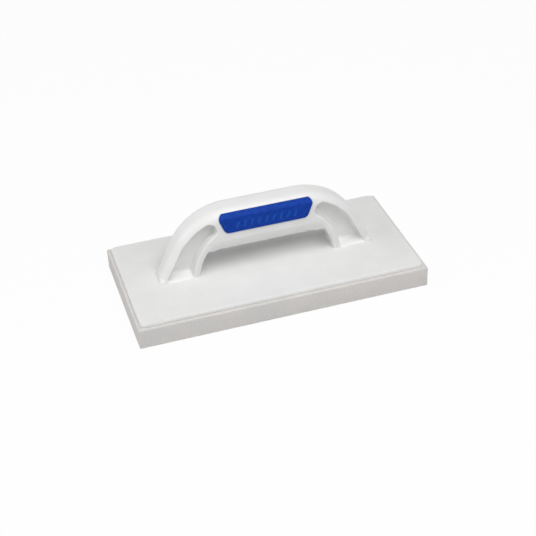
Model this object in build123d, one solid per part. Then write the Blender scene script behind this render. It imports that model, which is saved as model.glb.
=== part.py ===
from build123d import *

import os
from math import cos, radians, sin, tan

# A pad float: a thick cellular rubber sole glued under a thin moulded plate, with a moulded bow
# handle screwed to it from below and a soft insert let into each side of the grip.
# Millimetres. +X runs along the float, +Y across it and +Z up. The origin lies on the working
# face of the sole, under the middle of the grip.

# Sole pad
PAD_LENGTH = 280.0
PAD_WIDTH = 140.0
PAD_THICKNESS = 20.0
PAD_CORNER_RADIUS = 1.4
PAD_TOP_EASE = 2.7
PAD_BOTTOM_EASE = 0.5

# Glue film between the pad and the plate
GLUE_THICKNESS = 0.3
GLUE_MARGIN = 2.0

# Backing plate
PLATE_INSET = 2.9
PLATE_THICKNESS = 3.0
PLATE_CORNER_RADIUS = 5.4
PLATE_RIM_LEAN = 22.0
PLATE_RIM_ROUND = 0.7

# Bow handle, side view: a straight grip, two round shoulders and two leaning legs
BOW_HEIGHT = 66.7
GRIP_STRAIGHT = 68.0
SHOULDER_RADIUS = 63.0
LEG_TURN = 63.0
OPENING_HEIGHT = 21.7
OPENING_LENGTH = 132.0
OPENING_END_RADIUS = 51.2
OPENING_END_DROP = 3.9

# Bow handle, end view and roundings
FOOT_WIDTH = 26.0
GRIP_WIDTH = 30.0
OUTER_ROUND = 10.5
LEG_INNER_ROUND = 2.5
GRIP_UNDER_ROUND = 9.5

# Flared toe round the base of each leg
TOE_HEIGHT = 3.0
TOE_WIDTH = 27.0
TOE_CORNER_RADIUS = 4.0

# Leg pockets, one in each side of each leg, with a web left between them
LEG_OUTER_WALL = 6.8
LEG_INNER_WALL = 6.8
POCKET_INNER_TURN = 33.0
POCKET_OUTER_TURN = 18.0
POCKET_END_RADIUS = 6.2
POCKET_DRAFT = 4.0
POCKET_ROOT_RADIUS = 2.0
WEB_THICKNESS = 7.0
FLOOR_RISE = 4.8

# Tongues under the feet that locate the handle in the plate
TONGUE_HEIGHT = 0.8
TONGUE_MARGIN = 4.0
TONGUE_CLEARANCE = 0.1

# Countersunk screws, two in each foot
SCREW_DIAMETER = 3.9
SCREW_HEAD_DIAMETER = 7.6
SCREW_HEAD_LAND = 0.2
SCREW_LENGTH = 16.0
SCREW_POINT = 3.0
SCREW_FROM_FOOT_END = 11.5
RECESS_WIDTH = 0.9
RECESS_LENGTH = 4.4
RECESS_DEPTH = 1.2

# Soft inserts in the sides of the grip
INLAY_TOP_LENGTH = 95.0
INLAY_BOTTOM_LENGTH = 79.0
INLAY_TOP_DROP = 3.4
INLAY_RIDGE_DROP = 7.6
INLAY_BOTTOM_DROP = 23.2
INLAY_CORNER_RADIUS = 5.0
INLAY_FACE_SPAN = 30.5
INLAY_DEPTH = 3.2

# Grip bars raised on each insert
BAR_COUNT = 9
BAR_PITCH = 7.0
BAR_LENGTH = 7.0
BAR_WIDTH = 1.8
BAR_LEAN = 20.0
BAR_HEIGHT = 0.4

# A cut runs this far past the surface that it opens, so that it leaves no skin
CUT_OVERRUN = 8.0

PLATE_BOTTOM = PAD_THICKNESS + GLUE_THICKNESS
SEAT_Z = PLATE_BOTTOM + PLATE_THICKNESS
GRIP_TOP = SEAT_Z + BOW_HEIGHT
GRIP_UNDERSIDE = SEAT_Z + OPENING_HEIGHT


def rounded_block(length, width, bottom, height, corner_radius):
    """A flat block with round upright corners, standing on the height given."""
    outline = Pos(0, 0, bottom) * RectangleRounded(length, width, corner_radius)
    return extrude(outline, height)


def sole_pad():
    pad = rounded_block(PAD_LENGTH, PAD_WIDTH, 0, PAD_THICKNESS, PAD_CORNER_RADIUS)
    pad = fillet(pad.faces().sort_by(Axis.Z)[-1].edges(), PAD_TOP_EASE)
    return fillet(pad.faces().sort_by(Axis.Z)[0].edges(), PAD_BOTTOM_EASE)


def adhesive_film():
    inset = PLATE_INSET + GLUE_MARGIN
    length = PAD_LENGTH - 2 * inset
    width = PAD_WIDTH - 2 * inset
    return rounded_block(length, width, PAD_THICKNESS, GLUE_THICKNESS, PLATE_CORNER_RADIUS - GLUE_MARGIN)


def half_width(z):
    """Half the bow's width at a height: it widens steadily from the feet to the grip."""
    share = (z - SEAT_Z) / BOW_HEIGHT
    return (FOOT_WIDTH + (GRIP_WIDTH - FOOT_WIDTH) * share) / 2


def shoulder_point(turn, depth=0.0):
    """A point on the round shoulder, or that deep under it, in the side view."""
    angle = radians(turn)
    radius = SHOULDER_RADIUS - depth
    return (
        GRIP_STRAIGHT / 2 + radius * sin(angle),
        GRIP_TOP - SHOULDER_RADIUS + radius * cos(angle),
    )


def opening_end_point(turn, depth=0.0):
    """A point on the arc that ends the finger opening, or that deep behind it, in the side view."""
    angle = radians(turn)
    radius = OPENING_END_RADIUS + depth
    reach = (OPENING_END_RADIUS**2 - OPENING_END_DROP**2) ** 0.5
    return (
        OPENING_LENGTH / 2 - reach + radius * sin(angle),
        SEAT_Z - OPENING_END_DROP + radius * cos(angle),
    )


def run_down(start, turn, floor=SEAT_Z):
    """Where a straight line that leaves the point at this slope comes down to the floor."""
    return (start[0] + (start[1] - floor) / tan(radians(turn)), floor)


LEG_TOP = shoulder_point(LEG_TURN)
FOOT_END = run_down(LEG_TOP, LEG_TURN)[0]
FOOT_START = OPENING_LENGTH / 2


def side_view(half_outline):
    """The closed outline of one half, with its mirror image, as a face that stands upright."""
    half = make_face(half_outline)
    return Plane.XZ * (half + mirror(half, Plane.YZ))


def bow_outline():
    return side_view(
        Curve()
        + Line((0, GRIP_TOP), shoulder_point(0))
        + ThreePointArc(shoulder_point(0), shoulder_point(LEG_TURN / 2), LEG_TOP)
        + Polyline(LEG_TOP, (FOOT_END, SEAT_Z), (0, SEAT_Z), (0, GRIP_TOP))
    )


def opening_outline():
    """The reach of the finger opening: two large arcs for its ends, higher than the grip's edge."""
    crest = opening_end_point(0)
    below = SEAT_Z - CUT_OVERRUN
    half_turn = opening_end_point(45)
    level = opening_end_point(90)
    return side_view(
        ThreePointArc(crest, half_turn, level)
        + Polyline(level, (level[0], below), (0, below), (0, crest[1]), crest)
    )


def end_view_prism():
    """The bow's tapering width, as a long prism that trims the side view."""
    foot = half_width(SEAT_Z)
    top = half_width(GRIP_TOP)
    outline = Polyline((-foot, SEAT_Z), (foot, SEAT_Z), (top, GRIP_TOP), (-top, GRIP_TOP), close=True)
    return extrude(Plane.YZ * make_face(outline), FOOT_END, both=True)


def grip_bar():
    """The grip from below: its side planes and the large roundings that the fingers close on."""
    low = half_width(GRIP_UNDERSIDE)
    top = half_width(GRIP_TOP)
    corners = [(-low, GRIP_UNDERSIDE), (low, GRIP_UNDERSIDE), (top, GRIP_TOP), (-top, GRIP_TOP)]
    section = make_face(Polyline(*corners, close=True))
    section = fillet(section.vertices().sort_by(Axis.Y)[:2], GRIP_UNDER_ROUND)
    return extrude(Plane.YZ * section, FOOT_END, both=True)


def bow():
    """The plain bow: an arch with round shoulders, opened for the fingers under a rounded grip."""
    arch = extrude(bow_outline(), GRIP_WIDTH, both=True) & end_view_prism()
    rim = [edge for edge in arch.edges() if edge.center().Z > SEAT_Z and abs(edge.center().Y) > 1]
    arch = fillet(rim, OUTER_ROUND)
    return arch - (extrude(opening_outline(), GRIP_WIDTH, both=True) - grip_bar())


def pocket_outline():
    """The rim of one leg pocket: two arcs that follow the leg, joined by a round end on top."""
    below = SEAT_Z - CUT_OVERRUN
    outer_foot = shoulder_point(LEG_TURN, LEG_OUTER_WALL)
    outer_end = shoulder_point(POCKET_OUTER_TURN, LEG_OUTER_WALL)
    outer_middle = shoulder_point((LEG_TURN + POCKET_OUTER_TURN) / 2, LEG_OUTER_WALL)
    inner_end = opening_end_point(POCKET_INNER_TURN, LEG_INNER_WALL)
    inner_middle = opening_end_point((POCKET_INNER_TURN + 90) / 2, LEG_INNER_WALL)
    inner_foot = opening_end_point(90, LEG_INNER_WALL)
    outline = make_face(
        Curve()
        + ThreePointArc(outer_foot, outer_middle, outer_end)
        + Line(outer_end, inner_end)
        + ThreePointArc(inner_end, inner_middle, inner_foot)
        + Polyline(inner_foot, (inner_foot[0], below), run_down(outer_foot, LEG_TURN, below), outer_foot)
    )
    end_corners = outline.vertices().sort_by(Axis.Y)[-2:]
    return fillet(end_corners, POCKET_END_RADIUS)


def floor_wedge():
    """What stays under a front pocket: a floor that slopes from the web down to the plate."""
    web_face = -WEB_THICKNESS / 2
    rim = -TOE_WIDTH / 2
    slope = FLOOR_RISE / (web_face - rim)
    past = rim - CUT_OVERRUN
    outline = Polyline(
        (0, SEAT_Z + FLOOR_RISE),
        (web_face, SEAT_Z + FLOOR_RISE),
        (past, SEAT_Z - slope * CUT_OVERRUN),
        (past, SEAT_Z - 2 * CUT_OVERRUN),
        (0, SEAT_Z - 2 * CUT_OVERRUN),
        close=True,
    )
    return extrude(Plane.YZ * make_face(outline), FOOT_END, both=True)


def front_pocket():
    """The space of the front pocket in the right leg, with drafted walls and soft roots."""
    rim = Plane.XZ.offset(FOOT_WIDTH / 2) * pocket_outline()
    depth = (FOOT_WIDTH - WEB_THICKNESS) / 2
    pocket = extrude(rim, depth, dir=(0, 1, 0), taper=POCKET_DRAFT)
    pocket += extrude(rim, CUT_OVERRUN, dir=(0, -1, 0))
    pocket -= floor_wedge()
    roots = pocket.faces().sort_by(Axis.Y)[-1].edges()
    return fillet(roots, POCKET_ROOT_RADIUS)


def four_fold(shape):
    """The shape with its mirror images left, behind, and left behind."""
    pair = [shape, mirror(shape, Plane.YZ)]
    return pair + [mirror(each, Plane.XZ) for each in pair]


def toes():
    """A low flared base round each foot, as steep at its outer end as the leg that it carries."""
    middle = (FOOT_START + FOOT_END) / 2
    length = FOOT_END - FOOT_START
    outline = Pos(middle, 0, SEAT_Z) * RectangleRounded(length, TOE_WIDTH, TOE_CORNER_RADIUS)
    toe = extrude(outline, TOE_HEIGHT, taper=90 - LEG_TURN)
    return toe + mirror(toe, Plane.YZ)


def tongues(clearance=0.0):
    """The low blocks under the feet, or the seats in the plate that take them with a clearance."""
    start = FOOT_START + TONGUE_MARGIN
    end = FOOT_END - TONGUE_MARGIN
    length = end - start + 2 * clearance
    width = FOOT_WIDTH - 2 * TONGUE_MARGIN + 2 * clearance
    height = TONGUE_HEIGHT + clearance
    outline = Pos((start + end) / 2, 0, SEAT_Z) * RectangleRounded(length, width, TONGUE_MARGIN / 2)
    tongue = extrude(outline, -height)
    return tongue + mirror(tongue, Plane.YZ)


def screw_places():
    """Where the screws stand along the float: near both ends of each foot, on the web."""
    inner = FOOT_START + SCREW_FROM_FOOT_END
    outer = FOOT_END - SCREW_FROM_FOOT_END
    return [-outer, -inner, inner, outer]


def screw_body():
    """One countersunk screw, head down on the plate's underside, turned about its own axis."""
    head = SCREW_HEAD_DIAMETER / 2
    shank = SCREW_DIAMETER / 2
    neck = SCREW_HEAD_LAND + head - shank
    outline = Polyline(
        (0, 0),
        (head, 0),
        (head, SCREW_HEAD_LAND),
        (shank, neck),
        (shank, SCREW_LENGTH - SCREW_POINT),
        (0, SCREW_LENGTH),
        close=True,
    )
    return Pos(0, 0, PLATE_BOTTOM) * revolve(Plane.XZ * make_face(outline), Axis.Z)


def screw_bodies():
    return [Pos(place, 0, 0) * screw_body() for place in screw_places()]


def handle_screws():
    slot = Rectangle(RECESS_LENGTH, RECESS_WIDTH)
    cross = Pos(0, 0, PLATE_BOTTOM) * extrude(slot + Rot(0, 0, 90) * slot, RECESS_DEPTH)
    screw = screw_body() - cross
    return Compound(children=[Pos(place, 0, 0) * screw for place in screw_places()])


def backing_plate():
    length = PAD_LENGTH - 2 * PLATE_INSET
    width = PAD_WIDTH - 2 * PLATE_INSET
    outline = Pos(0, 0, PLATE_BOTTOM) * RectangleRounded(length, width, PLATE_CORNER_RADIUS)
    plate = extrude(outline, PLATE_THICKNESS, taper=PLATE_RIM_LEAN)
    plate = fillet(plate.faces().sort_by(Axis.Z)[-1].edges(), PLATE_RIM_ROUND)
    plate -= tongues(TONGUE_CLEARANCE)
    for screw in screw_bodies():
        plate -= screw
    return plate


def inlay_blank(past=0.0):
    """The front insert without its bars, or the cut for it, which runs past the grip's side."""
    face = -INLAY_FACE_SPAN / 2
    top = GRIP_TOP - INLAY_TOP_DROP
    ridge = GRIP_TOP - INLAY_RIDGE_DROP
    bottom = GRIP_TOP - INLAY_BOTTOM_DROP
    centre_y = OUTER_ROUND - half_width(GRIP_TOP - OUTER_ROUND)
    centre_z = GRIP_TOP - OUTER_ROUND
    top_edge = centre_y - (OUTER_ROUND**2 - (top - centre_z) ** 2) ** 0.5
    outer = [(face - past, bottom), (face - past, ridge), (top_edge - past, top)]
    floor = [(top_edge + INLAY_DEPTH, top), (face + INLAY_DEPTH, ridge), (face + INLAY_DEPTH, bottom)]
    end_view = make_face(Polyline(*outer, *floor, close=True))
    strip = extrude(Plane.YZ * end_view, INLAY_TOP_LENGTH, both=True)
    half_top = INLAY_TOP_LENGTH / 2
    half_bottom = INLAY_BOTTOM_LENGTH / 2
    side = make_face(
        Polyline((-half_bottom, bottom), (half_bottom, bottom), (half_top, top), (-half_top, top), close=True)
    )
    side = fillet(side.vertices(), INLAY_CORNER_RADIUS)
    return strip & extrude(Plane.XZ * side, GRIP_WIDTH)


def grip_bars():
    """Short leaning bars in a row, raised on the front insert."""
    centre = GRIP_TOP - (INLAY_RIDGE_DROP + INLAY_BOTTOM_DROP) / 2
    bar = Rot(0, 0, 90 - BAR_LEAN) * SlotOverall(BAR_LENGTH, BAR_WIDTH)
    first = -BAR_PITCH * (BAR_COUNT - 1) / 2
    row = [Pos(first + BAR_PITCH * index, centre) * bar for index in range(BAR_COUNT)]
    face = Plane.XZ.offset(INLAY_FACE_SPAN / 2)
    return [extrude(face * each, BAR_HEIGHT) for each in row]


def grip_inlay_front():
    inlay = inlay_blank()
    for bar in grip_bars():
        inlay += bar
    return inlay


def rib_edge(edge):
    """Whether an edge is a long outer edge of the ribs that end the finger opening."""
    centre_x = opening_end_point(0)[0]
    centre_z = SEAT_Z - OPENING_END_DROP
    points = [edge.position_at(share) for share in (0, 0.5, 1)]
    radii = [Vector(abs(point.X) - centre_x, point.Z - centre_z).length for point in points]
    on_arc = all(abs(radius - OPENING_END_RADIUS) < 0.01 for radius in radii)
    on_side = abs(abs(points[1].Y) - half_width(points[1].Z)) < 0.05
    return on_arc and on_side and edge.length > OPENING_HEIGHT


def handle_body():
    handle = bow() + toes()
    for pocket in four_fold(front_pocket()):
        handle -= pocket
    handle = fillet([edge for edge in handle.edges() if rib_edge(edge)], LEG_INNER_ROUND)
    recess = inlay_blank(past=CUT_OVERRUN)
    handle -= recess
    handle -= mirror(recess, Plane.XZ)
    handle += tongues()
    for screw in screw_bodies():
        handle -= screw
    return handle


def main():
    os.makedirs("parts", exist_ok=True)
    front = grip_inlay_front()
    nodes = {
        "sole_pad": sole_pad(),
        "adhesive_film": adhesive_film(),
        "backing_plate": backing_plate(),
        "handle_body": handle_body(),
        "handle_screws": handle_screws(),
        "grip_inlay_front": front,
        "grip_inlay_rear": Rot(0, 0, 180) * front,
    }
    for name, shape in nodes.items():
        export_step(shape, f"parts/{name}.step")
        print(name, round(shape.volume), shape.is_valid)


main()
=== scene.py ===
# %% [markdown]
# # Dressing a plasterer's pad float
# The float is a thick pad of fine-celled white rubber, glued under a stiff plate of white
# plastic. A moulded bow handle is screwed to the plate, and a soft blue insert sits in each
# side of its grip. The CAD frame already holds every piece at its real size, so this lesson
# only gives the pieces their soft edges and their finishes, and lights them as for a
# catalogue. Everything is in metres, and lengths are written in millimetres times MM.

# %% Load the frame
from math import cos, radians, sin, sqrt, tan

import bmesh
import bpy
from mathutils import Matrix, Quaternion, Vector


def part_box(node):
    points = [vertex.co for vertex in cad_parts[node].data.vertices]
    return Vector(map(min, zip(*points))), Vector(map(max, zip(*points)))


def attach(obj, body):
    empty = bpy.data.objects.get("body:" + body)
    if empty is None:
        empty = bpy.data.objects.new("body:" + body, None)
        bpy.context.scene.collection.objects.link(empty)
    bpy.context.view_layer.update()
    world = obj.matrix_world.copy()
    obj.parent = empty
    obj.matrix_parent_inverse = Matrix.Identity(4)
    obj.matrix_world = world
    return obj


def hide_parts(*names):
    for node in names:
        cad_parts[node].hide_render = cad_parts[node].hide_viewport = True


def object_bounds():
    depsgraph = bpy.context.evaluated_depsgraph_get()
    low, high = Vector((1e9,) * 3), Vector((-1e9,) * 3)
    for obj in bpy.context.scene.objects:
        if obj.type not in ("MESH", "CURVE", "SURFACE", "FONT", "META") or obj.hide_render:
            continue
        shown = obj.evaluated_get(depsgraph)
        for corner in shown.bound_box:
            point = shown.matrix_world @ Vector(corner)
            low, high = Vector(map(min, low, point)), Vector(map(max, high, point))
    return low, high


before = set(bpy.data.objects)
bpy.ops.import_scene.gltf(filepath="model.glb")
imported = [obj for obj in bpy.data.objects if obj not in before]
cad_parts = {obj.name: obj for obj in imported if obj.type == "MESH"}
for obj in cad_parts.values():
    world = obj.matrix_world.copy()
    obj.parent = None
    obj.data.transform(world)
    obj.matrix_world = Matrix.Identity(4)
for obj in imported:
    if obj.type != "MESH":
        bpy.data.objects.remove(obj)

MM = 0.001
cad_low, cad_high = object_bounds()
print("the frame holds", len(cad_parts), "nodes, from", cad_low[:], "to", cad_high[:])

# %% [markdown]
# ## The camera
# A long lens from over a metre away keeps the float's long edges nearly parallel. The camera
# looks at a point low on the float's near side, from the left and from 35 degrees above, and
# it leans a little to one side. A direction and a distance are easier to read and to change
# than a position and three angles, so the place is worked out from them.

# %% Camera
SENSOR_WIDTH = 36.0
LENS = 83.62
VIEW_TURN = 16.07
VIEW_HEIGHT = 34.86
VIEW_LEAN = -2.72
VIEW_DISTANCE = 1175.1 * MM
VIEW_TARGET = Vector((-3.2, -22.3, 24.1)) * MM


def look_direction(turn, height):
    """The way a camera looks that stands that far round and that far above, in degrees."""
    flat = cos(radians(height))
    return Vector((sin(radians(turn)) * flat, cos(radians(turn)) * flat, -sin(radians(height))))


view_along = look_direction(VIEW_TURN, VIEW_HEIGHT)
camera_data = bpy.data.cameras.new("camera")
camera_data.sensor_width = SENSOR_WIDTH
camera_data.lens = LENS
camera_data.clip_start = 10 * MM
camera_data.clip_end = 50.0
camera = bpy.data.objects.new("camera", camera_data)
camera.rotation_mode = "QUATERNION"
upright = view_along.to_track_quat("-Z", "Y")
camera.rotation_quaternion = upright @ Quaternion((0, 0, 1), radians(VIEW_LEAN))
camera.location = VIEW_TARGET - VIEW_DISTANCE * view_along
bpy.context.scene.collection.objects.link(camera)
bpy.context.scene.camera = camera
print("the camera stands at", camera.location[:])

# %% [markdown]
# ## Helpers for shapes
# Each new piece starts as a bmesh, which is Blender's mesh for editing. The pad and the plate
# both begin as a block, get round corners, and then have level edges rounded, so each of those
# steps is a small helper. Two points that are nearer than TOUCH count as being at one place.

# %% Shape helpers
TOUCH = 0.01 * MM


def round_edges(bm, edges, width, segments):
    """Rounds these edges, or chamfers them when there is only one segment."""
    bmesh.ops.bevel(
        bm, geom=edges, affect="EDGES", offset=width, offset_type="OFFSET",
        segments=segments, profile=0.5, material=-1, clamp_overlap=True,
    )


def edges_at_height(bm, z):
    """The edges that lie level at a height."""
    return [edge for edge in bm.edges if all(abs(vert.co.z - z) < TOUCH for vert in edge.verts)]


def block(low, high):
    """A bmesh box between two corners."""
    bm = bmesh.new()
    bmesh.ops.create_cube(bm, size=1)
    bmesh.ops.scale(bm, vec=high - low, verts=bm.verts)
    bmesh.ops.translate(bm, vec=(low + high) / 2, verts=bm.verts)
    return bm


def round_corners(bm, radius, segments):
    """Rounds the upright edges of a block."""
    uprights = [edge for edge in bm.edges if abs(edge.verts[0].co.z - edge.verts[1].co.z) > TOUCH]
    round_edges(bm, uprights, radius, segments)


# %% [markdown]
# A finished bmesh becomes a piece. It rides on the CAD body and hides the CAD nodes that it stands
# for. Edges where the faces turn by more than the crease angle, in degrees, stay sharp in the
# shading.

# %% From bmesh to piece


def make_piece(name, bm, nodes, crease):
    """Hands a finished bmesh over as a piece that rides on the float and replaces CAD nodes."""
    mesh = bpy.data.meshes.new(name)
    bm.to_mesh(mesh)
    bm.free()
    mesh.shade_smooth()
    mesh.set_sharp_from_angle(angle=radians(crease))
    piece = bpy.data.objects.new(name, mesh)
    bpy.context.scene.collection.objects.link(piece)
    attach(piece, "root")
    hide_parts(*nodes)
    print(name, "has", len(mesh.polygons), "faces")
    return piece


# %% [markdown]
# ## The sole pad
# The pad is cut from a thick sheet of cellular rubber: its ends and sides are flat and meet in
# nearly sharp corners, and its top edge is eased by about as much as the corners, where the
# bevel runs out of room. A box with three different bevels gives exactly that. The large faces
# stay flat here, because the cells of the rubber are far smaller than anything that would show
# in the outline, so they come with the material.

# %% Sole pad
PAD_CORNER_RADIUS = 1.4 * MM
PAD_TOP_EASE = 1.4 * MM
PAD_BOTTOM_EASE = 0.5 * MM

pad_low, pad_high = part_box("sole_pad")
pad_mesh = block(pad_low, pad_high)
round_corners(pad_mesh, PAD_CORNER_RADIUS, segments=4)
round_edges(pad_mesh, edges_at_height(pad_mesh, pad_high.z), PAD_TOP_EASE, segments=8)
round_edges(pad_mesh, edges_at_height(pad_mesh, pad_low.z), PAD_BOTTOM_EASE, segments=3)
pad = make_piece("pad", pad_mesh, nodes=["sole_pad"], crease=40)

# %% [markdown]
# ## The backing plate
# The plate is a flat moulding with round corners and a rim that leans in a little, so that it
# leaves the mould. Drawing in the top of a block by the lean gives that rim. A moulding never
# has a knife edge, so the top edge gets a round, and the foot of the rim a finer one. Those
# thin rounds catch the light and make the part look real.

# %% Backing plate
PLATE_CORNER_RADIUS = 5.4 * MM
PLATE_RIM_LEAN = 13.0
PLATE_RIM_ROUND = 0.45 * MM
PLATE_FOOT_ROUND = 0.2 * MM

plate_low, plate_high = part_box("backing_plate")
plate_mesh = block(plate_low, plate_high)
round_corners(plate_mesh, PLATE_CORNER_RADIUS, segments=10)
draw_in = (plate_high.z - plate_low.z) * tan(radians(PLATE_RIM_LEAN))
top_verts = [vert for vert in plate_mesh.verts if vert.co.z > plate_high.z - TOUCH]
bmesh.ops.scale(
    plate_mesh, vec=(1 - draw_in / plate_high.x, 1 - draw_in / plate_high.y, 1), verts=top_verts
)
round_edges(plate_mesh, edges_at_height(plate_mesh, plate_high.z), PLATE_RIM_ROUND, segments=4)
round_edges(plate_mesh, edges_at_height(plate_mesh, plate_low.z), PLATE_FOOT_ROUND, segments=2)
print("the rim draws in by", round(draw_in / MM, 2), "mm")

# %% [markdown]
# The rim carries one small nick near its left end, where the plate was knocked. Three cuts
# across the plate give the rim a row of points there, and the middle ones are pushed in. A cut
# along the plate, just inside the rim, keeps the dent from pulling at the wide flat face.

# %% The nick in the rim
NICK_PLACE = -118.0 * MM
NICK_HALF_WIDTH = 2.0 * MM
NICK_REACH = 3.0 * MM
NICK_DEPTH = Vector((0.9, 1.5, -1.6)) * MM

rim_line = plate_low.y + draw_in + NICK_REACH
cuts = [
    ((cut, 0, 0), (1, 0, 0))
    for cut in (NICK_PLACE - NICK_HALF_WIDTH, NICK_PLACE, NICK_PLACE + NICK_HALF_WIDTH)
]
cuts.append(((0, rim_line, 0), (0, 1, 0)))
for point, across in cuts:
    everything = plate_mesh.verts[:] + plate_mesh.edges[:] + plate_mesh.faces[:]
    bmesh.ops.bisect_plane(plate_mesh, geom=everything, plane_co=point, plane_no=across)
struck = [
    vert for vert in plate_mesh.verts
    if abs(vert.co.x - NICK_PLACE) < TOUCH and vert.co.y < rim_line - TOUCH
    and vert.co.z > plate_high.z - 2 * PLATE_RIM_ROUND
]
print("the nick moves", len(struck), "points")
bmesh.ops.translate(plate_mesh, vec=NICK_DEPTH, verts=struck)
plate = make_piece("plate", plate_mesh, nodes=["backing_plate"], crease=35)

# %% [markdown]
# ## The bow handle
# The handle is one moulding with pockets in both sides of each leg. Its CAD solid already has
# every form, but with crisp edges where a moulding is soft. Bevelling hundreds of CAD triangles
# one by one would leave pinched corners. A voxel remesh turns a merged copy into even quads,
# and some rounds of smoothing then soften every edge alike, as the mould does, while the flat
# and gently curved faces stay where they are.

# %% Softening a CAD solid


def merged_copy(node):
    """A bmesh copy of a CAD node, with the loose triangles joined into one skin."""
    bm = bmesh.new()
    bm.from_mesh(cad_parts[node].data)
    bmesh.ops.remove_doubles(bm, verts=bm.verts, dist=0.1 * TOUCH)
    return bm


def softened(bm, voxel, rounds):
    """The same solid as even quads, with its edges softened."""
    rough = bpy.data.meshes.new("rough")
    bm.to_mesh(rough)
    bm.free()
    holder = bpy.data.objects.new("rough", rough)
    bpy.context.scene.collection.objects.link(holder)
    remesh = holder.modifiers.new("even_quads", "REMESH")
    remesh.mode = "VOXEL"
    remesh.voxel_size = voxel
    smooth = holder.modifiers.new("soft_edges", "SMOOTH")
    smooth.factor = 0.5
    smooth.iterations = rounds
    graph = bpy.context.evaluated_depsgraph_get()
    soft = bmesh.new()
    soft.from_mesh(bpy.data.meshes.new_from_object(holder.evaluated_get(graph)))
    bpy.data.objects.remove(holder)
    return soft


# %% [markdown]
# Only the feet must stay sharp where they stand on the plate. So the points at the plate's
# height go down a little first, which makes the feet longer, and after the smoothing the feet
# are cut off level.

# %% Bow handle
HANDLE_VOXEL = 0.7 * MM
HANDLE_SOFTENING = 12
FOOT_EXTRA = 4.0 * MM

foot_z = plate_high.z
long_footed = merged_copy("handle_body")
for vert in long_footed.verts:
    if vert.co.z < foot_z + TOUCH:
        vert.co.z -= FOOT_EXTRA
handle_mesh = softened(long_footed, HANDLE_VOXEL, HANDLE_SOFTENING)
print("the softened handle has", len(handle_mesh.faces), "quads")

# %% [markdown]
# Under the inserts the real grip closes in like the bottom of an egg, so that fingers curl
# round it without an edge. The CAD solid has plain sides and a round there. The quads are fine
# enough to be drawn in now: each point that lies outside the egg moves inwards to it, and the
# egg fades out towards the legs.

# %% The egg under the grip
GRIP_HALF_WIDTH = 15.0 * MM
EGG_DEPTH = 23.5 * MM
EGG_FULL = 44.0 * MM
EGG_END = 66.0 * MM

egg_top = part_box("grip_inlay_front")[0].z
for vert in handle_mesh.verts:
    fall = min(max((egg_top - vert.co.z) / EGG_DEPTH, 0), 1)
    share = min(max((EGG_END - abs(vert.co.x)) / (EGG_END - EGG_FULL), 0), 1)
    share = share * share * (3 - 2 * share)
    egg = GRIP_HALF_WIDTH * sqrt(1 - fall ** 2)
    reach = egg * share + GRIP_HALF_WIDTH * (1 - share)
    vert.co.y = max(-reach, min(reach, vert.co.y))
print("the egg starts", round(egg_top / MM, 1), "mm up, and is", round(EGG_DEPTH / MM, 1), "mm deep")

# %% [markdown]
# The lower part of the handle gets more rounds of smoothing than the rest, because the real
# feet melt into their toes. Then the feet are cut off level with the plate: a bisect with
# clear_inner throws away what lies below the cut, and the open rims are filled with triangles.

# %% The feet
LOW_SOFTENING = 14
LOW_REACH = 6.0 * MM


def cut_level(bm, z):
    """Cuts away what lies below a height, and closes the cut."""
    bmesh.ops.bisect_plane(
        bm, geom=bm.verts[:] + bm.edges[:] + bm.faces[:],
        plane_co=(0, 0, z), plane_no=(0, 0, 1), clear_inner=True,
    )
    rims = [edge for edge in bm.edges if edge.is_boundary]
    bmesh.ops.triangle_fill(bm, use_beauty=True, edges=rims, normal=(0, 0, -1))


low_verts = [vert for vert in handle_mesh.verts if vert.co.z < foot_z + LOW_REACH]
for _ in range(LOW_SOFTENING):
    bmesh.ops.smooth_vert(
        handle_mesh, verts=low_verts, factor=0.5, use_axis_x=True, use_axis_y=True, use_axis_z=True
    )
cut_level(handle_mesh, foot_z)
handle = make_piece("handle", handle_mesh, nodes=["handle_body"], crease=80)

# %% [markdown]
# ## The soft inserts
# A blue insert sits in each side of the grip, with a row of low leaning bars on its face for
# the thumb. A soft rubber grade has no sharp edge anywhere, and the bars are only 0.4 mm high.
# So the inserts are softened as the handle is, from a finer grid of quads and in fewer rounds,
# which rounds their rims and lets the bars swell gently out of the face.

# %% Grip inserts
INSERT_VOXEL = 0.27 * MM
INSERT_SOFTENING = 1

inserts = []
for name, node in (("insert_front", "grip_inlay_front"), ("insert_rear", "grip_inlay_rear")):
    insert_mesh = softened(merged_copy(node), INSERT_VOXEL, INSERT_SOFTENING)
    inserts.append(make_piece(name, insert_mesh, nodes=[node], crease=80))

# %% [markdown]
# ## Materials from nodes
# Every finish is a small node graph on Object coordinates. All the pieces sit at the origin,
# so these are metres in the frame: a noise of scale 1000 has a grain of about a millimetre.
# A colour or number that is the same all over goes straight on the shader's own socket, and
# only what changes over the surface comes through nodes. Most changes begin as a noise, whose
# grey is then spread over the range that is wanted.

# %% A new material and its greys


def new_material(name):
    """A material with its node tree, its shader and its Object coordinates."""
    material = bpy.data.materials.new(name)
    material.use_nodes = True
    tree = material.node_tree
    shader = tree.nodes["Principled BSDF"]
    place = tree.nodes.new("ShaderNodeTexCoord").outputs["Object"]
    return material, tree, shader, place


def noise(tree, place, scale, detail):
    """The grey output of a noise texture, with grains of one over the scale, in metres."""
    node = tree.nodes.new("ShaderNodeTexNoise")
    node.inputs["Scale"].default_value = scale
    node.inputs["Detail"].default_value = detail
    tree.links.new(place, node.inputs["Vector"])
    return node.outputs["Fac"]


def spread(tree, value, start, end, low=0, high=1):
    """Maps a grey value from start and end to low and high, and holds it there beyond them."""
    node = tree.nodes.new("ShaderNodeMapRange")
    ends = {"From Min": start, "From Max": end, "To Min": low, "To Max": high}
    for socket, number in ends.items():
        node.inputs[socket].default_value = number
    tree.links.new(value, node.inputs["Value"])
    return node.outputs["Result"]


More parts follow.
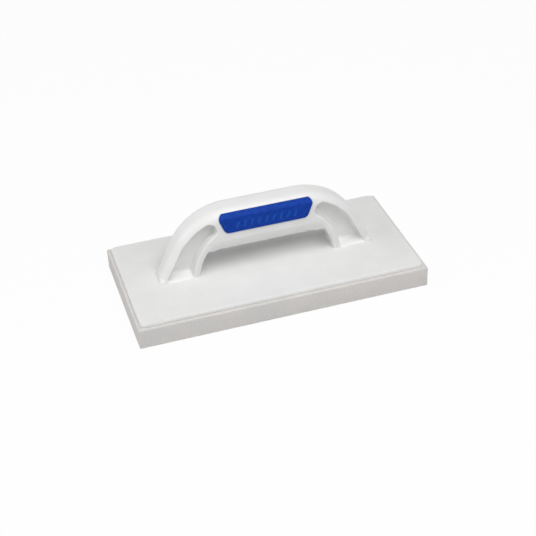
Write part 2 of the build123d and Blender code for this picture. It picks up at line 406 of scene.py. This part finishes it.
# %% [markdown]
# A grey does one of three things to a shader. It mixes two colours, it sets how rough the
# surface is, or it lifts the surface. A bump only bends the light, so it is right for a grain
# that is too fine to show in the outline.

# %% Colour, gloss and relief
GLOSS_START = 0.3
GLOSS_END = 0.7


def mixed_colour(tree, share, first, second):
    """A colour output that runs from the first colour or output to the second."""
    node = tree.nodes.new("ShaderNodeMix")
    node.data_type = "RGBA"
    for socket, value in (("A", first), ("B", second)):
        if isinstance(value, tuple):
            node.inputs[socket].default_value = (*value, 1)
        else:
            tree.links.new(value, node.inputs[socket])
    tree.links.new(share, node.inputs["Factor"])
    return node.outputs["Result"]


def tint(tree, shader, share, first, second):
    """Colours the shader between two colours or outputs, by a grey share."""
    tree.links.new(mixed_colour(tree, share, first, second), shader.inputs["Base Color"])


def gloss(tree, shader, share, shiny, dull):
    """Lets a grey share run the shader's roughness from shiny to dull."""
    rough = spread(tree, share, start=GLOSS_START, end=GLOSS_END, low=shiny, high=dull)
    tree.links.new(rough, shader.inputs["Roughness"])


def relief(tree, shader, height, depth, strength):
    """Lets a grey height lift the surface by up to a depth, in metres."""
    node = tree.nodes.new("ShaderNodeBump")
    node.inputs["Strength"].default_value = strength
    node.inputs["Distance"].default_value = depth
    tree.links.new(height, node.inputs["Height"])
    tree.links.new(node.outputs["Normal"], shader.inputs["Normal"])


# %% [markdown]
# ### Moulded white plastic
# The plate and the handle are moulded in a spark-eroded tool, which leaves a fine even matte
# grain. The plate is a little coarser than the handle. A slow noise lets the white drift by a
# few parts in a hundred, as a hand and a warehouse leave it.

# %% Moulded plastic


def moulded_plastic(name, dark, light, grain, depth, shiny, dull):
    """White plastic with an eroded grain, and a gloss that changes softly over the surface."""
    material, tree, shader, place = new_material(name)
    drift = spread(tree, noise(tree, place, scale=45, detail=3), start=0.35, end=0.65)
    tint(tree, shader, drift, dark, light)
    gloss(tree, shader, noise(tree, place, scale=180, detail=2), shiny, dull)
    relief(tree, shader, noise(tree, place, grain, detail=4), depth, strength=0.35)
    return material


plate_plastic = moulded_plastic(
    "plate_plastic", dark=(0.80, 0.80, 0.79), light=(0.83, 0.83, 0.82),
    grain=1900, depth=0.06 * MM, shiny=0.52, dull=0.62,
)
handle_plastic = moulded_plastic(
    "handle_plastic", dark=(0.82, 0.82, 0.815), light=(0.85, 0.85, 0.845),
    grain=2600, depth=0.04 * MM, shiny=0.38, dull=0.48,
)
print("made", plate_plastic.name, "and", handle_plastic.name)

# %% [markdown]
# ### Cellular rubber
# The pad is full of tiny cells, cut open wherever the sheet was cut. A Voronoi texture holds
# one cell in each of its regions: near the middle of a region lies the hollow, and the wall
# between two hollows stands up. With full randomness the cells differ in size, as real ones do.
# The rubber is a warm white in broad patches that drift from cool to warm. The hollows are painted a
# shade darker than the walls: painted shade, standing in for the shade inside the open cells.

# %% Cellular rubber
CELL_SCALE = 1150
CELL_DEPTH = 0.22 * MM
RUBBER_WALL = (0.745, 0.715, 0.695)
# painted shade: the darker colour of the cell hollows stands in for the shade inside the open cells
RUBBER_HOLLOW_SHADE = (0.60, 0.575, 0.56)
RUBBER_DUST = (0.70, 0.69, 0.675)


def cell_walls(tree, place):
    """A grey that is 1 on the cell walls and falls to 0 in the hollows."""
    node = tree.nodes.new("ShaderNodeTexVoronoi")
    node.feature = "F1"
    node.inputs["Scale"].default_value = CELL_SCALE
    node.inputs["Randomness"].default_value = 1.0
    tree.links.new(place, node.inputs["Vector"])
    return spread(tree, node.outputs["Distance"], start=0.15, end=0.5)


def cellular_rubber():
    """Dull warm white rubber, full of cut cells, in patches that drift from cool to warm."""
    material, tree, shader, place = new_material("cellular_rubber")
    shader.inputs["Roughness"].default_value = 0.88
    shader.inputs["Specular IOR Level"].default_value = 0.25
    walls = cell_walls(tree, place)
    patches = spread(tree, noise(tree, place, scale=22, detail=4), start=0.38, end=0.62)
    skin = mixed_colour(tree, patches, RUBBER_DUST, RUBBER_WALL)
    # the hollows take the painted shade colour, and the walls the rubber's own colour
    tint(tree, shader, walls, RUBBER_HOLLOW_SHADE, skin)
    relief(tree, shader, walls, CELL_DEPTH, strength=0.5)
    return material


pad_rubber = cellular_rubber()
print("made", pad_rubber.name, "with cells of about", round(1 / CELL_SCALE / MM, 2), "mm")

# %% [markdown]
# ### Soft-touch blue rubber
# The inserts are a soft grade moulded into the grip. It is duller than the handle and has a faint
# pebble. The tops of the bars are painted a lighter blue, a painted highlight where the bars face
# out and catch the light. The bars are the only part that stands so far out from the grip's middle,
# so the distance from the middle plane, which is the Y of the Object coordinates without its sign,
# picks them out. The painted highlight fades in over the middle of the bars' height.

# %% Insert rubber
INSERT_BLUE = (0.0005, 0.037, 0.32)
INSERT_PALER_BLUE = (0.002, 0.054, 0.38)
# painted highlight: the lighter blue for the bars' crests
BAR_HIGHLIGHT_BLUE = (0.004, 0.078, 0.44)
BAR_HEIGHT = 0.4 * MM

bar_crest = -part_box("grip_inlay_front")[0].y
fade_start = bar_crest - 0.7 * BAR_HEIGHT
fade_end = bar_crest - 0.3 * BAR_HEIGHT


def distance_from_middle(tree, place):
    """How far a point lies from the plane through the middle of the grip."""
    axes = tree.nodes.new("ShaderNodeSeparateXYZ")
    tree.links.new(place, axes.inputs["Vector"])
    size = tree.nodes.new("ShaderNodeMath")
    size.operation = "ABSOLUTE"
    tree.links.new(axes.outputs["Y"], size.inputs[0])
    return size.outputs["Value"]


def soft_touch_rubber():
    """Dull blue rubber, in two blues that drift, and a painted highlight on the tops of the bars."""
    material, tree, shader, place = new_material("insert_rubber")
    shader.inputs["Specular IOR Level"].default_value = 0.14
    drift = spread(tree, noise(tree, place, scale=260, detail=4), start=0.35, end=0.7)
    blue = mixed_colour(tree, drift, INSERT_BLUE, INSERT_PALER_BLUE)
    top = spread(tree, distance_from_middle(tree, place), fade_start, fade_end)
    # the bars' crests get the painted highlight blue
    tint(tree, shader, top, blue, BAR_HIGHLIGHT_BLUE)
    gloss(tree, shader, noise(tree, place, scale=420, detail=3), shiny=0.46, dull=0.6)
    relief(tree, shader, noise(tree, place, scale=1700, detail=3), depth=0.04 * MM, strength=0.3)
    return material


insert_rubber = soft_touch_rubber()
print("the bars' crests lie", round(bar_crest / MM, 2), "mm from the middle of the grip")

# %% [markdown]
# ### Glue and screws
# The glue film shows only as a thin line under the plate's rim, and the screws are hidden in
# the feet, but each still gets its own finish, so that the float can be taken apart in view:
# a yellowed contact glue in soft streaks, and zinc plate with a fine crystal grain.

# %% Glue and zinc
GLUE_DARK = (0.62, 0.52, 0.33)
GLUE_LIGHT = (0.74, 0.66, 0.47)
ZINC_DARK = (0.50, 0.50, 0.52)
ZINC_LIGHT = (0.66, 0.66, 0.67)


def contact_glue():
    """Yellowed glue, duller where it is lighter."""
    material, tree, shader, place = new_material("contact_glue")
    streaks = spread(tree, noise(tree, place, scale=140, detail=5), start=0.35, end=0.65)
    tint(tree, shader, streaks, GLUE_DARK, GLUE_LIGHT)
    rough = spread(tree, streaks, start=0, end=1, low=0.3, high=0.55)
    tree.links.new(rough, shader.inputs["Roughness"])
    relief(tree, shader, streaks, depth=0.05 * MM, strength=0.5)
    return material


def zinc_plate():
    """Bright zinc on steel, with a fine grain."""
    material, tree, shader, place = new_material("zinc_plate")
    shader.inputs["Metallic"].default_value = 1.0
    grain = noise(tree, place, scale=3200, detail=2)
    tint(tree, shader, grain, ZINC_DARK, ZINC_LIGHT)
    gloss(tree, shader, grain, shiny=0.28, dull=0.42)
    relief(tree, shader, grain, depth=0.02 * MM, strength=0.3)
    return material


# %% [markdown]
# ### Giving each piece its finish
# New pieces get one material. The CAD nodes that stay in view keep their mesh, and only the
# material in their slots changes.

# %% Assign the finishes


def finish_with(piece, material):
    """Gives a piece or a CAD node one material, in place of what it had."""
    piece.data.materials.clear()
    piece.data.materials.append(material)


finish_with(pad, pad_rubber)
finish_with(plate, plate_plastic)
finish_with(handle, handle_plastic)
for insert in inserts:
    finish_with(insert, insert_rubber)
finish_with(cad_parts["adhesive_film"], contact_glue())
finish_with(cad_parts["handle_screws"], zinc_plate())
print("materials:", sorted(material.name for material in bpy.data.materials))

# %% [markdown]
# ## Floor and backdrop
# A catalogue shows its tools on a plain white ground. More light would only bleach the white
# float, so the ground gets its white by itself: to the camera and in reflections most of it is
# an even glow, and to all other light it is a plain pale floor that takes the float's shadow
# and throws light back.

# %% Floor
FLOOR_SIZE = 6.0
FLOOR_DROP = 0.05 * MM
FLOOR_PALE = (0.85, 0.85, 0.85, 1)
FLOOR_GLOW_SHARE = 0.95


def glow_for_camera(tree, share):
    """A grey that is the share to the camera and in reflections, and 0 to the lamps' light."""
    path = tree.nodes.new("ShaderNodeLightPath")
    seen = tree.nodes.new("ShaderNodeMath")
    seen.operation = "MAXIMUM"
    tree.links.new(path.outputs["Is Camera Ray"], seen.inputs[0])
    tree.links.new(path.outputs["Is Glossy Ray"], seen.inputs[1])
    scaled = tree.nodes.new("ShaderNodeMath")
    scaled.operation = "MULTIPLY"
    scaled.inputs[1].default_value = share
    tree.links.new(seen.outputs["Value"], scaled.inputs[0])
    return scaled.outputs["Value"]


def pale_ground():
    """A pale floor for the lamps' light, mixed with an even white glow for the camera."""
    material = bpy.data.materials.new("pale_ground")
    material.use_nodes = True
    tree = material.node_tree
    tree.nodes.remove(tree.nodes["Principled BSDF"])
    floor = tree.nodes.new("ShaderNodeBsdfDiffuse")
    floor.inputs["Color"].default_value = FLOOR_PALE
    glow = tree.nodes.new("ShaderNodeEmission")
    glow.inputs["Strength"].default_value = 1.0
    mix = tree.nodes.new("ShaderNodeMixShader")
    tree.links.new(glow_for_camera(tree, FLOOR_GLOW_SHARE), mix.inputs["Fac"])
    tree.links.new(floor.outputs["BSDF"], mix.inputs[1])
    tree.links.new(glow.outputs["Emission"], mix.inputs[2])
    tree.links.new(mix.outputs["Shader"], tree.nodes["Material Output"].inputs["Surface"])
    return material


floor_mesh = bmesh.new()
bmesh.ops.create_grid(floor_mesh, x_segments=1, y_segments=1, size=FLOOR_SIZE / 2)
floor_data = bpy.data.meshes.new("floor")
floor_mesh.to_mesh(floor_data)
floor_mesh.free()
floor = bpy.data.objects.new("floor", floor_data)
floor.location.z = cad_low.z - FLOOR_DROP
floor_data.materials.append(pale_ground())
bpy.context.scene.collection.objects.link(floor)
print("the floor lies", round(FLOOR_DROP / MM, 2), "mm under the pad")

# %% [markdown]
# ## Light
# Two soft boxes light the float, in a dim white room. The room fills what the boxes don't
# reach, such as the leg pockets and the space under the grip, so its strength sets how deep
# those are. Its light on the float is dim, but the camera sees the room as plain white.

# %% Room light
ROOM_STRENGTH = 0.2

world = bpy.data.worlds.new("white_room")
bpy.context.scene.world = world
world.use_nodes = True
world_tree = world.node_tree
room = world_tree.nodes["Background"]
room.inputs["Color"].default_value = (1, 1, 1, 1)
room.inputs["Strength"].default_value = ROOM_STRENGTH
backdrop = world_tree.nodes.new("ShaderNodeBackground")
backdrop.inputs["Color"].default_value = (1, 1, 1, 1)
backdrop.inputs["Strength"].default_value = 1.0
chooser = world_tree.nodes.new("ShaderNodeMixShader")
world_tree.links.new(glow_for_camera(world_tree, 1.0), chooser.inputs["Fac"])
world_tree.links.new(room.outputs["Background"], chooser.inputs[1])
world_tree.links.new(backdrop.outputs["Background"], chooser.inputs[2])
world_tree.links.new(chooser.outputs["Shader"], world_tree.nodes["World Output"].inputs["Surface"])
print("the room shines with a strength of", ROOM_STRENGTH)

# %% [markdown]
# The stronger box hangs high in front, a little to the right. It lights the plate, the top of
# the grip and the pad's long side. The weaker one stands low at the left, for the pad's left
# end and the outer side of the left leg. The ratio of the two sets how the sides differ.

# %% Lamps
LAMP_AIM = Vector((0, 0, 40)) * MM
LAMP_DISTANCE = 1.6
LAMP_SIZE = 1.2


def soft_box(name, turn, height, power):
    """A square area lamp, so far round and so far above in degrees, that faces the float."""
    lamp_data = bpy.data.lights.new(name, "AREA")
    lamp_data.shape = "SQUARE"
    lamp_data.size = LAMP_SIZE
    lamp_data.energy = power
    lamp = bpy.data.objects.new(name, lamp_data)
    along = look_direction(turn, height)
    lamp.location = LAMP_AIM - LAMP_DISTANCE * along
    lamp.rotation_mode = "QUATERNION"
    lamp.rotation_quaternion = along.to_track_quat("-Z", "Y")
    bpy.context.scene.collection.objects.link(lamp)


soft_box("front_box", turn=-12, height=64, power=19.6)
soft_box("left_box", turn=85, height=26, power=7.4)
print("lamps:", [lamp.name for lamp in bpy.data.lights])

# %% [markdown]
# ## Colour
# The plain Standard view shows colours as they are written.

# %% Finish
bpy.context.scene.view_settings.view_transform = "Standard"
